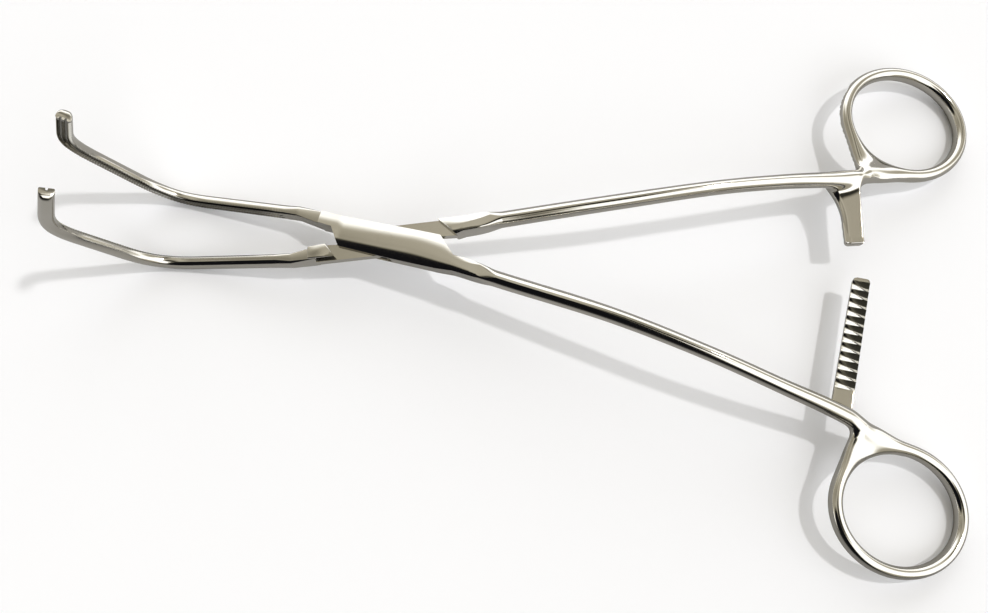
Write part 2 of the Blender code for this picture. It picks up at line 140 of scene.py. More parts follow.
# Shank: points of its middle line, and its width and height at some lengths
SHANK_LINE = ((13.0, -2.8, 0.0), (20.0, -3.0, 0.0), (32.4, -4.54, -0.2), (62.0, -7.8, -1.1),
              (87.1, -11.6, -5.3), (105.7, -14.6, -11.6), (125.1, -17.6, -19.9),
              (131.0, -20.0, -23.3), (135.5, -20.6, -25.7), (140.5, -21.4, -28.6))
SHANK_SIZES = ((13.0, 4.1, 5.8), (26.0, 4.2, 5.8), (31.0, 4.3, 5.2), (62.0, 4.1, 5.0),
               (87.0, 3.8, 4.8), (106.0, 3.9, 4.8), (125.0, 4.6, 4.7), (131.0, 4.4, 4.6),
               (140.5, 2.8, 4.2))
SHANK_STEP = 0.5
SHANK_SOFTNESS = 12
SHANK_ROUND_START = 24.0
SHANK_POWER = 1.8
SHANK_SLACK = 0.3
SHANK_FADE_START = 130.0
SHANK_FADE = 0.12
SINK_START = 124.0
SINK_DROP = 1.4
SINK_LOSS = 0.8
FLAT_START = 23.0
FLAT_END = 33.0
FLAT_POWER_GAIN = 9.0
FLAT_TOP_INSET = 0.02
FLAT_WIDENING = 0.06
FLAT_NARROWING = 0.11
SKIN_INSET = 0.05

# Finger ring
RING_CENTRE = (142.5, -37.0, -29.8)
RING_SLOPE = 21.4
RING_HOLE = (33.2, 28.2)
RING_BAND = 3.4
RING_BAND_INSET = 0.08
RING_HEIGHT = 4.4
RING_FLARE = 5.0
RING_FLARE_AT = 129.0
RING_FLARE_SPREAD = 20.0
RING_LIFT = 1.8
RING_LIFT_SPREAD = 24
RING_POWER = 2.1
RING_FILLET = 5.0
RING_SPARE = 2

# Root of a ratchet arm; only the short arm has a facet, and with it the rise and the flare
ROOT_START_FACETED = -0.5
ROOT_START_PLAIN = 0.6
ROOT_RISE = 1.7
ROOT_RISE_LENGTH = 17.0
ROOT_FLARE = 3.0
ROOT_FLARE_START = 2.0
ROOT_FLARE_LENGTH = 11.0
ROOT_SPARE = 0.02
ROOT_EDGE = 0.35
ROOT_FILLET = 3.4
ROOT_FILLET_FACETED = 5.0
ROOT_FILLET_REACH = (5, 3)
ROOT_UNDERCUT = 0.15
FACET_WIDTH = 1.1
FACET_NORMAL = (0.447, 0.894)
FACET_ROUNDING = 0.5
CLEAR_HALF_WIDTH = 3.2
CLEAR_SLOPE = 1.2
CLEAR_OF_NOTHING = -60.0

# Ratchet
RATCHET_X = 123.7
RATCHET_WIDTH_ROOT = 5.4
RATCHET_WIDTH_END = 4.5
RATCHET_THICKNESS = 2.4
RATCHET_GAP = 0.4
RATCHET_REACH = 21.1
RATCHET_SHORT_END = 0.8
RATCHET_TEETH = 12
RATCHET_SHORT_TEETH = 4
TOOTH_PITCH = 2.5
TOOTH_DEPTH = 0.6
TOOTH_TIP_LAND = 0.9
NOTCH_DROP = 0.03
NOTCH_LEDGE = 0.35
NOTCH_LOW = 0.30
NOTCH_SLANT = 0.46
NOTCH_SLANT_POWER = 0.7
ARM_EDGE = 0.22
ARM_CORNER = 1.0
ARM_CORNER_LOSS = 0.8
ARM_END_LENGTH = 0.6
ARM_END_LOSS = 0.5

# Space searched for the rear of a half, and the size of its mesh cells
REAR_LOW = (22.5, -57.5, -41.0)
REAR_END = 164.0
REAR_TOP = 4.0
REAR_CELL = 0.34

# Materials: base colour and stain of each steel
BOX_STEEL = ((0.72, 0.70, 0.66), (0.62, 0.60, 0.53))
TONGUE_STEEL = ((0.71, 0.69, 0.65), (0.61, 0.59, 0.52))
STEEL_ROUGHNESS = 0.10
CLOUD_SCALE = 55.0
SCRATCH_SCALE = (120.0, 2600.0, 900.0)
FLOOR_COLOUR = (0.96, 0.965, 0.99)
FLOOR_SHADE = 0.985
# Floor colour seen only in the steel's reflections: a painted darker reflection, painted almost
# black near the viewer, fading between these Y values in metres
FLOOR_BOUNCE = (0.41, 0.405, 0.40)
FLOOR_BOUNCE_NEAR = (0.03, 0.03, 0.03)
FLOOR_BOUNCE_FADE = (-0.17, -0.02)

# Table, in metres
TABLE_REACH = 3.0
TABLE_EDGE = 0.1025
TABLE_SLOPE = 0.0155
TABLE_DROP = 0.025

# Light
SUN_ENERGY = 0.85
SUN_SPREAD = 3.2
SUN_COLOUR = (1.0, 0.99, 0.98)
SUN_FROM = (0.457, 0.20, 1.0)
SKY_STRENGTH = 1.83
SKY_SEEN = (0.956, 0.956, 0.956, 1)

# Dull patches of the sky: where each one is, the angles between which it fades out, in degrees,
# and the share of the light that is left in its middle
SKY_PATCHES = {
    "ceiling": ((-0.12, 0.12, 0.98), 26, 42, 0.49),
    "side wall": ((-0.486, -0.695, 0.53), 28, 40, 0),
    "low wall": ((-0.17, -0.98, 0.05), 20, 38, 0),
    "near wall": ((0.56, -0.82, 0.12), 14, 27, 0.4),
    "screen": ((0.32, 0.56, 0.77), 12, 25, 0.5),
    "behind": ((0.72, 0.524, 0.454), 10, 24, 0.5),
    "right": ((1.0, 0.06, -0.08), 12, 26, 0.5),
    "left": ((-0.90, 0.12, 0.42), 14, 48, 0.4),
    "viewer": ((0.06, -0.22, 0.97), 9, 22, 0.2),
}
SKY_CLOUDS = 1.9
SKY_CLOUD_GAIN = 0.5
SKY_CLOUD_LEAST = 0.75
SKY_COLOURS = ((0.0, (0.004, 0.004, 0.005)), (0.12, (0.022, 0.021, 0.017)),
               (0.30, (0.13, 0.12, 0.095)), (0.48, (0.30, 0.28, 0.23)),
               (0.72, (0.67, 0.66, 0.62)), (0.92, (0.98, 0.985, 1.0)))

# Camera, in metres from the pin and in radians; the focal length is in pixels of the image
CAMERA_FROM_PIN = (0.0299, -0.0854, 0.2673)
CAMERA_ROLL = -0.002
CAMERA_PITCH = 0.260
CAMERA_YAW = 0.115
FOCAL_PIXELS = 1056.8
IMAGE_WIDTH = 988
SENSOR_WIDTH = 36.0


def half_matrix(side):
    """Where a half lies at rest: turned by half the opening, tilted, and put at the pin."""
    turn = Matrix.Rotation(-side * HALF_OPENING, 4, 'Z')
    return Matrix.Translation(PIN_AT) @ Matrix.Rotation(TILT, 4, 'Y') @ turn @ Matrix.Scale(MM, 4)


def clamped(value, low=0.0, high=1.0):
    return min(high, max(low, value))


def eased(share):
    """Smooth step from 0 to 1."""
    share = clamped(share)
    return share * share * (3 - 2 * share)


# Objects out of points, and what is done to them

def new_object(name, mesh):
    obj = bpy.data.objects.new(name, mesh)
    bpy.context.scene.collection.objects.link(obj)
    return obj


def object_from_bmesh(name, bm):
    bmesh.ops.recalc_face_normals(bm, faces=bm.faces)
    mesh = bpy.data.meshes.new(name)
    bm.to_mesh(mesh)
    bm.free()
    return new_object(name, mesh)


def loft(name, rings):
    """Skin a row of equal-sized point rings, with capped ends."""
    bm = bmesh.new()
    rows = [[bm.verts.new(p) for p in ring] for ring in rings]
    for lower, upper in zip(rows, rows[1:]):
        for i in range(len(lower)):
            j = (i + 1) % len(lower)
            bm.faces.new((lower[i], lower[j], upper[j], upper[i]))
    bm.faces.new(rows[0])
    bm.faces.new(rows[-1])
    return object_from_bmesh(name, bm)


def prism(name, outline, low, high):
    """A flat outline in XY, given height between two levels."""
    return loft(name, [[(x, y, z) for x, y in outline] for z in (low, high)])


def cylinder(name, radius, height, sides=96):
    bm = bmesh.new()
    bmesh.ops.create_cone(bm, cap_ends=True, segments=sides, radius1=radius, radius2=radius,
                          depth=height)
    return object_from_bmesh(name, bm)


def bake(obj):
    """Replace an object's mesh by the result of its modifiers."""
    bpy.context.view_layer.update()
    evaluated = obj.evaluated_get(bpy.context.evaluated_depsgraph_get())
    mesh = bpy.data.meshes.new_from_object(evaluated)
    obj.modifiers.clear()
    obj.data = mesh
    return obj


def combine(obj, other, operation):
    """Boolean of two objects; the second one is used up."""
    modifier = obj.modifiers.new("Boolean", 'BOOLEAN')
    modifier.operation = operation
    modifier.solver = 'EXACT'
    modifier.object = other
    bake(obj)
    bpy.data.objects.remove(other, do_unlink=True)
    return obj


def bevel_edges(obj, width, segments=3, angle=40):
    modifier = obj.modifiers.new("Edges", 'BEVEL')
    modifier.width = width
    modifier.segments = segments
    modifier.limit_method = 'ANGLE'
    modifier.angle_limit = math.radians(angle)
    return bake(obj)


def mirrored(points, side):
    return [(x, y * side, z) for x, y, z in points]


def smooth_shaded(obj, angle=30):
    obj.data.shade_smooth()
    obj.data.set_sharp_from_angle(angle=math.radians(angle))


def joined(name, objects):
    """One object out of several, keeping their vertices where they are."""
    bpy.ops.object.select_all(action='DESELECT')
    for obj in objects:
        obj.select_set(True)
    bpy.context.view_layer.objects.active = objects[0]
    bpy.ops.object.join()
    objects[0].name = name
    return objects[0]


# The shank's line

def smooth_line(points, steps):
    """Points on a smooth curve through the given ones, with equal steps between each pair."""
    knots = [np.array(p, float) for p in points]
    knots = [2 * knots[0] - knots[1]] + knots + [2 * knots[-1] - knots[-2]]
    line = []
    for i in range(1, len(knots) - 2):
        a, b, c, d = knots[i - 1:i + 3]
        length = np.linalg.norm(c - b)
        tangent_b = (c - a) * length / np.linalg.norm(c - a)
        tangent_c = (d - b) * length / np.linalg.norm(d - b)
        for t in np.arange(steps) / steps:
            line.append((2 * t ** 3 - 3 * t ** 2 + 1) * b + (t ** 3 - 2 * t ** 2 + t) * tangent_b
                        + (3 * t ** 2 - 2 * t ** 3) * c + (t ** 3 - t ** 2) * tangent_c)
    line.append(knots[-2])
    return np.array(line)


def softened(values, window):
    """Moving average that keeps the ends."""
    padded = np.concatenate([np.full(window, values[0]), values, np.full(window, values[-1])])
    kernel = np.ones(2 * window + 1) / (2 * window + 1)
    return np.convolve(padded, kernel, mode="same")[window:-window]


def shank_table():
    """Rows along the shank: centre, tangent, across, up, half width, half height."""
    dense = smooth_line(SHANK_LINE, 40)
    steps = np.linalg.norm(np.diff(dense, axis=0), axis=1)
    reach = np.concatenate([[0], np.cumsum(steps)])
    at = np.linspace(0, reach[-1], int(reach[-1] / SHANK_STEP))
    centre = np.stack([np.interp(at, reach, dense[:, k]) for k in range(3)], 1)
    tangent = np.gradient(centre, axis=0)
    tangent /= np.linalg.norm(tangent, axis=1)[:, None]
    across = np.cross((0, 0, 1), tangent)
    across /= np.linalg.norm(across, axis=1)[:, None]
    up = np.cross(tangent, across)
    sink = np.clip((centre[:, 0] - SINK_START) / (centre[-1, 0] - SINK_START), 0, 1) ** 2
    centre[:, 2] -= SINK_DROP * sink
    xs, *sizes = zip(*SHANK_SIZES)
    halves = [softened(np.interp(centre[:, 0], xs, size) / 2, SHANK_SOFTNESS)
              * (1 - SINK_LOSS * sink) for size in sizes]
    return np.hstack([centre, tangent, across, up, *[half[:, None] for half in halves]])


SHANK = shank_table()


def shank_at(x):
    """Middle (Y, Z) and half width and height of the shank at a length along it."""
    return [float(np.interp(x, SHANK[:, 0], SHANK[:, k])) for k in (1, 2, 12, 13)]


def ratchet_level():
    """Level of the sliding face between the two ratchet arms, just under the shanks."""
    _, z, _, half_h = shank_at(RATCHET_X + RATCHET_WIDTH_ROOT / 2)
    return z - half_h - RATCHET_GAP / 2


def ratchet_half_width(y, root):
    share = (y - root) / (RATCHET_REACH - root)
    return (RATCHET_WIDTH_ROOT + (RATCHET_WIDTH_END - RATCHET_WIDTH_ROOT) * share) / 2


# Distance fields for the forged rear of a half

def rows_at(table, f):
    i = np.minimum(f.astype(int), len(table) - 2)
    w = (f - i)[:, None]
    return table[i] * (1 - w) + table[i + 1] * w


def oval(u, v, half_u, half_v, power):
    """Distance, near its surface, to a bar whose section is a superellipse."""
    a = np.abs(u / half_u)
    b = np.abs(v / half_v)
    k = np.maximum(a ** power + b ** power, 1e-6) ** (1 / power)
    slope = np.hypot((a / k) ** (power - 1) / half_u, (b / k) ** (power - 1) / half_v)
    return (k - 1) / np.maximum(slope, 0.12)


def blended(a, b, radius):
    """Union of two distances with a fillet."""
    h = np.maximum(radius - np.abs(a - b), 0) / radius
    return np.minimum(a, b) - h * h * h * radius / 6


def shank_distance(p):
    """Oval bar along the shank's line, which fades out inside the finger ring's band."""
    last = len(SHANK) - 1
    f = np.interp(p[:, 0], SHANK[:, 0], np.arange(last + 1))
    for _ in range(4):
        row = rows_at(SHANK, f)
        along = ((p - row[:, :3]) * row[:, 3:6]).sum(1)
        f = np.clip(f + along / SHANK_STEP, 0, last)
    row = rows_at(SHANK, f)
    r = p - row[:, :3]
    along = (r * row[:, 3:6]).sum(1)
    across = (r * row[:, 6:9]).sum(1)
    up = (r * row[:, 9:12]).sum(1)
    d = oval(across, up, row[:, 12], row[:, 13], SHANK_POWER)
    slack = np.where((f <= 0) | (f >= last), 0, SHANK_SLACK)
    d = np.maximum(np.maximum(d, np.abs(along) - slack), SHANK_ROUND_START - p[:, 0])
    return d + SHANK_FADE * np.maximum(p[:, 0] - SHANK_FADE_START, 0)


def ring_distance(p):
    """Band around the finger hole, and how far a point lies inside that hole."""
    slope = math.radians(RING_SLOPE)
    r = p - np.array(RING_CENTRE)
    x = r[:, 0] * math.cos(slope) - r[:, 2] * math.sin(slope)
    y = r[:, 1]
    n = r[:, 0] * math.sin(slope) + r[:, 2] * math.cos(slope)
    a, b = RING_HOLE[0] / 2, RING_HOLE[1] / 2
    angle = np.arctan2(y / b, x / a)
    for _ in range(6):
        c, s = np.cos(angle), np.sin(angle)
        g = (x - a * c) * (-a * s) + (y - b * s) * (b * c)
        speed = (a * s) ** 2 + (b * c) ** 2
        bend = (x - a * c) * a * c + (y - b * s) * b * s
        angle = angle + g / np.maximum(speed + bend, speed * 0.4)
    c, s = np.cos(angle), np.sin(angle)
    nx, ny = c / a, s / b
    size = np.hypot(nx, ny)
    u = ((x - a * c) * nx + (y - b * s) * ny) / size
    away = (np.degrees(angle) - RING_FLARE_AT + 180) % 360 - 180
    band = RING_BAND - RING_BAND_INSET + RING_FLARE * np.exp(-(away / RING_FLARE_SPREAD) ** 2)
    outwards = np.clip(u / band, 0, 1) ** 2
    n = n - RING_LIFT * np.exp(-(away / RING_LIFT_SPREAD) ** 2) * outwards
    d = oval(u - band / 2, n, band / 2, RING_HEIGHT / 2 - SKIN_INSET, RING_POWER)
    return np.maximum(d, np.hypot(x, y) - a - RING_BAND - RING_FLARE - RING_SPARE), -u


def root_distance(p, low, high, end, facet):
    """The plain part of a ratchet arm, with a facet of a given width along its front upper edge."""
    start = shank_at(RATCHET_X)[0] + (ROOT_START_FACETED if facet else ROOT_START_PLAIN)
    half_y = (end - start) / 2
    from_shank = np.clip((p[:, 1] - start) / ROOT_RISE_LENGTH, 0, 1)
    risen = high + (ROOT_RISE if facet else 0.0) * (1 - from_shank)
    near = np.clip(1 - (p[:, 1] - start - ROOT_FLARE_START) / ROOT_FLARE_LENGTH, 0, 1)
    flare = (ROOT_FLARE if facet else 0.0) * near ** 2
    half_x = ratchet_half_width(p[:, 1], start) + ROOT_SPARE
    x = p[:, 0] - RATCHET_X
    a = np.maximum(x - half_x, -x - half_x - flare) + ROOT_EDGE
    b = np.abs(p[:, 1] - (start + end) / 2) - half_y + ROOT_EDGE
    c = np.abs(p[:, 2] - (low + risen) / 2) - (risen - low) / 2 + ROOT_EDGE
    out = np.sqrt(np.maximum(a, 0) ** 2 + np.maximum(b, 0) ** 2 + np.maximum(c, 0) ** 2)
    d = out + np.minimum(np.maximum(np.maximum(a, b), c), 0) - ROOT_EDGE
    slope = ((-x - half_x - flare + facet) * FACET_NORMAL[0]
             + (p[:, 2] - risen) * FACET_NORMAL[1])
    return -blended(-d, -slope, FACET_ROUNDING)


def rear_distance(low, high, end, facet, clear):
    """Shank, ring and root in one; under the level given by clear the root is cut away."""
    ahead, past = ROOT_FILLET_REACH
    fillets = (ROOT_FILLET_FACETED if facet else ROOT_FILLET, ROOT_FILLET)

    def distance(p):
        ring, inside = ring_distance(p)
        d = np.maximum(blended(shank_distance(p), ring, RING_FILLET), inside)
        fillet = np.interp(p[:, 0], (RATCHET_X - ahead, RATCHET_X + past), fillets)
        d = blended(d, root_distance(p, low, high, end, facet), fillet)
        beside = np.maximum(np.abs(p[:, 0] - RATCHET_X) - CLEAR_HALF_WIDTH, 0)
        return np.maximum(d, clear - CLEAR_SLOPE * beside - p[:, 2])
    return distance


def in_chunks(distance, p, size=60000):
    return np.concatenate([distance(p[i:i + size]) for i in range(0, len(p), size)])


def gradient(distance, p, step=0.02):
    axes = np.eye(3) * step
    return np.stack([(in_chunks(distance, p + a) - in_chunks(distance, p - a)) / (2 * step)
                     for a in axes], 1)


def sampled(distance, low, high, cell, block=8, margin=0.8, batch=80):
    """Distances on a grid, worked out only in the blocks of cells that lie near the surface."""
    half_diagonal = 0.87
    blocks = np.ceil((np.array(high) - low) / (cell * block)).astype(int)
    field = np.ones(blocks * block + 1, dtype=np.float32)
    base = np.stack(np.meshgrid(*[np.arange(n) for n in blocks], indexing="ij"), -1).reshape(-1, 3)
    middles = low + (base + 0.5) * block * cell
    near = np.abs(in_chunks(distance, middles)) < block * cell * half_diagonal + margin
    base = base[near] * block
    corner = np.stack(np.meshgrid(*[np.arange(block + 1)] * 3, indexing="ij"), -1).reshape(-1, 3)
    for start in range(0, len(base), batch):
        index = (base[start:start + batch, None] + corner[None]).reshape(-1, 3)
        field[tuple(index.T)] = distance(low + index * cell)
    return field


def skin(distance, low, high, cell):
    """Points, quads and normals of the surface where the distance is zero."""
    low = np.array(low, float)
    field = sampled(distance, low, high, cell)
    inside = field < 0

    # One point for each cell that the surface crosses, amid its crossings of the cell's edges
    count = sum(inside[i:inside.shape[0] - 1 + i, j:inside.shape[1] - 1 + j,
                       k:inside.shape[2] - 1 + k].astype(np.int8)
                for i in (0, 1) for j in (0, 1) for k in (0, 1))
    cells = np.argwhere((count > 0) & (count < 8))
    number = np.full(count.shape, -1, dtype=np.int32)
    number[tuple(cells.T)] = np.arange(len(cells))
    total = np.zeros((len(cells), 3))
    crossings = np.zeros(len(cells))
    unit = np.eye(3, dtype=int)
    for axis in range(3):
        b, c = unit[(axis + 1) % 3], unit[(axis + 2) % 3]
        for first in (0 * b, b, c, b + c):
            f0 = field[tuple((cells + first).T)]
            f1 = field[tuple((cells + first + unit[axis]).T)]
            crossed = (f0 < 0) != (f1 < 0)
            t = np.where(crossed, f0 / np.where(crossed, f0 - f1, 1), 0)
            total += np.where(crossed[:, None], first + t[:, None] * unit[axis], 0)
            crossings += crossed
    points = low + cell * (cells + total / crossings[:, None])

    # One quad for each crossed grid edge, between the points of the four cells around it
    quads = []
    for axis in range(3):
        b, c = unit[(axis + 1) % 3], unit[(axis + 2) % 3]
        shape = [slice(1, n - 1) for n in inside.shape]
        ahead = list(shape)
        ahead[axis] = slice(2, inside.shape[axis])
        first = inside[tuple(shape)]
        edges = np.argwhere(first != inside[tuple(ahead)]) + 1
        ring = np.stack([number[tuple((edges - o).T)] for o in (b + c, c, 0 * b, b)], 1)
        flip = ~inside[tuple(edges.T)]
        ring[flip] = ring[flip][:, ::-1]
        quads.append(ring)
    quads = np.vstack(quads)

    # The points move onto the surface
    for _ in range(2):
        slope = gradient(distance, points)
        move = in_chunks(distance, points) / np.maximum((slope ** 2).sum(1), 0.2)
        points = points - np.clip(move, -cell, cell)[:, None] * slope
    normals = gradient(distance, points)
    normals /= np.linalg.norm(normals, axis=1)[:, None]
    return points, quads, normals


def rear(name, side, low, high, end, facet, clear):
    """Shank, finger ring and ratchet root of a half, as one forging with filleted joins."""
    points, quads, normals = skin(rear_distance(low, high, end, facet, clear), REAR_LOW,
                                  (REAR_END, max(end, 0.0) + 1.0, REAR_TOP), REAR_CELL)
    if side < 0:
        points[:, 1] *= -1
        normals[:, 1] *= -1
        quads = quads[:, ::-1]
    matrix = np.array(half_matrix(side))
    points = points @ matrix[:3, :3].T + matrix[:3, 3]
    normals = normals @ (matrix[:3, :3] / MM).T
    mesh = bpy.data.meshes.new(name)
    mesh.from_pydata(points.tolist(), [], quads.tolist())
    mesh.shade_smooth()
    mesh.normals_split_custom_set_from_vertices(normals.tolist())
    return new_object(name, mesh)


# Jaws

def jaw_path(start):
    """Middle line of a jaw in the XZ plane, with its slope, from a start near the lock."""
    drop = math.atan2(JAW_DROP, JAW_REACH)
    angles = [-drop, math.radians(JAW_MIDDLE_ANGLE), math.radians(JAW_TIP_ANGLE)]
    directions = [np.array((-math.cos(a), 0, math.sin(a))) for a in angles]
    bend_1 = np.array((-JAW_REACH, 0, -JAW_DROP))
    bend_2 = bend_1 + directions[1] * JAW_MIDDLE
    tip = bend_2 + directions[2] * JAW_TIP
    stations = [(bend_1 - directions[0] * (JAW_REACH - start), angles[0])]
    for corner, leg, radius in ((bend_1, 0, BEND_1_RADIUS), (bend_2, 1, BEND_2_RADIUS)):
        turn = angles[leg + 1] - angles[leg]
        entry = corner - directions[leg] * radius * math.tan(turn / 2)
        centre = entry + radius * np.array((math.sin(angles[leg]), 0, math.cos(angles[leg])))
        for k in range(BEND_STEPS + 1):
            angle = angles[leg] + turn * k / BEND_STEPS
            arm = np.array((math.sin(angle), 0, math.cos(angle)))
            stations.append((centre - arm * radius, angle))
    stations.append((tip, angles[2]))
    places = np.array([s[0] for s in stations])
    slopes = np.array([s[1] for s in stations])
    legs = np.linalg.norm(np.diff(places, axis=0), axis=1)
    reach = start + np.concatenate([[0], np.cumsum(legs)])
    dense = np.arange(start, reach[-1] + 0.1, JAW_STEP)
    slopes = softened(np.interp(dense, reach, slopes), BEND_SOFTNESS)
    steps = np.stack([-np.cos(slopes), 0 * slopes, np.sin(slopes)], 1) * JAW_STEP
    line = places[0] + np.concatenate([[[0, 0, 0]], np.cumsum(steps, axis=0)[:-1]])
    line += (places[-1] - line[-1]) * ((dense - start) / (dense[-1] - start))[:, None]
    return dense, line, slopes


def jaw_outline(width, thickness, grooves, depth, lift, roundness):
    """Outline of a jaw: u runs across its width, v from the inner face (0) to the back."""
    half = width / 2
    edge_radius = min(JAW_EDGE, thickness * 0.28) * roundness
    quarter = [(edge_radius * (1 - math.cos(a)), lift + edge_radius * (1 - math.sin(a)))
               for a in np.linspace(0, math.pi / 2, 6)]
    inner = [(-half + du, v) for du, v in quarter]
    for g in range(grooves):
        middle = width * ((g + 1) / (grooves + 1) - 0.5)
        for edge, level in ((-1, lift), (-0.75, depth), (-0.4, depth * 1.1), (0.4, depth * 1.1),
                            (0.75, depth), (1, lift)):
            inner.append((middle + edge * GROOVE_WIDTH / 2, level))
    inner += [(half - du, v) for du, v in reversed(quarter)]
    back = []
    radius = min(JAW_BACK_RADIUS, thickness * 0.55, half * 0.9) * roundness
    for k in range(9):
        angle = math.pi / 2 * k / 8
        back.append((half - radius + radius * math.cos(angle),
                     thickness - radius + radius * math.sin(angle)))
    back += [(-u, v) for u, v in reversed(back)]
    return inner + back


def jaw_spots(start, total):
    """Lengths along a jaw at which its section is set: evenly, at each tooth, and at the tip."""
    spots = list(np.arange(start, GROOVE_START, 0.5))
    tooth = GROOVE_START
    while tooth < total - TIP_ROUNDING:
        spots += [tooth, tooth + 0.04, tooth + 0.4]
        tooth += JAW_TOOTH_PITCH
    spots += list(total - TIP_ROUNDING * np.array((0.9, 0.7, 0.5, 0.35, 0.2, 0.1, 0.03, 0.0)))
    return sorted(set(spots))


def jaw(side, start, grooves):
    """A jaw, bent twice, with long grooves and fine cross teeth on its inner face."""
    reach, places, slopes = jaw_path(start)
    total = reach[-1]
    bend_2 = total - JAW_TIP
    bend_1 = bend_2 - JAW_MIDDLE
    keys = (LOFT_START, BOX_END, JAW_ROOT, bend_1, bend_2, total)
    sections = (JAW_AT_LOFT_START, JAW_AT_BOX_END, JAW_AT_ROOT, JAW_AT_BEND_1, JAW_AT_BEND_2,
                JAW_AT_TIP)
    rings = []
    for s in jaw_spots(start, total):
        place = [float(np.interp(s, reach, places[:, k])) for k in range(3)]
        angle = float(np.interp(s, reach, slopes))
        face, thickness, width = (float(np.interp(s, keys, column)) for column in zip(*sections))
        past = max(0.0, 1 - (total - s) / TIP_ROUNDING)
        thickness *= 1 - TIP_LOSS * (1 - math.sqrt(max(0.0, 1 - past ** 2)))
        run_in = clamped((s - GROOVE_START) / GROOVE_RUN_IN, 0.05)
        lift = 0.0
        if GROOVE_START < s < total - TIP_ROUNDING:
            phase = ((s - GROOVE_START) / JAW_TOOTH_PITCH) % 1.0
            lift = JAW_TOOTH_DEPTH * (1 - phase) * run_in if phase > 0.02 else 0.0
        across = np.array((math.sin(angle), 0, math.cos(angle)))
        roundness = clamped((s - BOX_END + JAW_ROUND_LEAD) / JAW_ROUND_LENGTH, 0.2)
        outline = jaw_outline(width, thickness, grooves, GROOVE_DEPTH * run_in, lift, roundness)
        ring = [tuple(place + across * u + np.array((0, face + v, 0))) for u, v in outline]
        rings.append(mirrored(ring, side))
    return loft("jaw", rings)


# Box, tongue and the ground zone behind them

def slant_x(slant, y):
    (x1, y1), (x2, y2) = slant
    return x1 + (x2 - x1) * (y - y1) / (y2 - y1)


def turned(points, degrees):
    c = math.cos(math.radians(degrees))
    s = math.sin(math.radians(degrees))
    return [(x * c - y * s, x * s + y * c) for x, y in points]


def tongue_strip(direction, inner, spare, reach):
    """Plan of the tongue to one side of the pin, a little wider towards its end."""
    near = TONGUE_RADIUS + spare
    far = near + TONGUE_FLARE * reach
    return [(0.0, direction * inner), (0.0, direction * near), (direction * reach, direction * far),
            (direction * reach, direction * inner)]


def crown_line(x, side):
    """Where the crown of a half is highest, across, at a length along it."""
    behind = side * shank_at(max(x, CROWN_SHANK_START))[0] - CROWN_INSET[side]
    ahead = CROWN_AHEAD[side]
    return ahead + (behind - ahead) * eased((x - CROWN_SHIFT_START) / CROWN_SHIFT_LENGTH)


def lower_edge(x, side):
    """The lower edge, across, of a half's lock or of the squared shank behind it."""
    if x > BOX_END or side < 0:
        y, _, half_w, _ = shank_at(max(x, BOX_END))
        return side * y - half_w if x > 0 else -JAW_AT_BOX_END[0] - JAW_AT_BOX_END[1]
    xs, ys = zip(BOX_FRONT_SLANT[1], *BOX_INNER_SIDE)
    return float(np.interp(x, xs, ys))


def crowned(obj, side):
    """Give a half's lock a rounded top and bottom by cutting it to a crowned bar along X."""
    ys = np.linspace(-CROWN_HALF_WIDTH, CROWN_HALF_WIDTH, 97)
    rings = []
    for x in (CROWN_REACH[0], *np.arange(CROWN_START, CROWN_END + 2.0, 1.0), CROWN_REACH[1]):
        x_here = clamped(x, CROWN_START, CROWN_END)
        middle = crown_line(x_here, side)
        edge_slope = CROWN_EDGE_SLOPE if side > 0 or x > 0 else CROWN_FRONT_SLOPE
        lower = edge_slope / 2 / (middle - lower_edge(x_here, side))
        behind = eased((x - CROWN_CHANGE_START) / CROWN_CHANGE_LENGTH)
        upper = CROWN_CURVE + CROWN_CURVE_GAIN * behind
        slope = CROWN_BOX_SLOPE + (CROWN_UPPER_SLOPE - CROWN_BOX_SLOPE) * behind
        above = np.maximum(0, ys - CROWN_LAND)
        bend = slope / 2 / upper
        drop = lower * np.maximum(0, -ys) ** 2 + np.where(above < bend, upper * above ** 2,
                                                          slope * (above - bend / 2))
        drop = np.minimum(drop, CROWN_MOST_DROP)
        level = BOX_HEIGHT / 2
        for start, rise in CROWN_RISES:
            level += rise * max(0.0, start - x)
        top = [(y + middle, level - d) for y, d in zip(ys, drop)]
        rings.append([(x, y, z) for y, z in top + [(y, -z) for y, z in reversed(top)]])
    return combine(obj, loft("crown", rings), 'INTERSECT')


def ground_zone(side, start):
    """The squared part of the shank behind the lock, turning gradually into the oval shank."""
    rings = []
    for x in np.arange(start, FLAT_END + 0.1, 0.5):
        y, z, half_w, half_h = shank_at(x)
        share = eased((x - FLAT_START) / (FLAT_END - FLAT_START))
        power = SHANK_POWER + FLAT_POWER_GAIN * (1 - share) ** 2
        height = (BOX_HEIGHT / 2 - FLAT_TOP_INSET) * (1 - share) + (half_h - SKIN_INSET) * share
        half = half_w + FLAT_WIDENING - FLAT_NARROWING * share
        ring = []
        for angle in np.linspace(0, 2 * math.pi, 96, endpoint=False):
            c, s = math.cos(angle), math.sin(angle)
            r = ((abs(c) / half) ** power + (abs(s) / height) ** power) ** (-1 / power)
            ring.append((x, y + r * c, z + r * s))
        rings.append(mirrored(ring, side))
    return loft("ground_zone", rings)


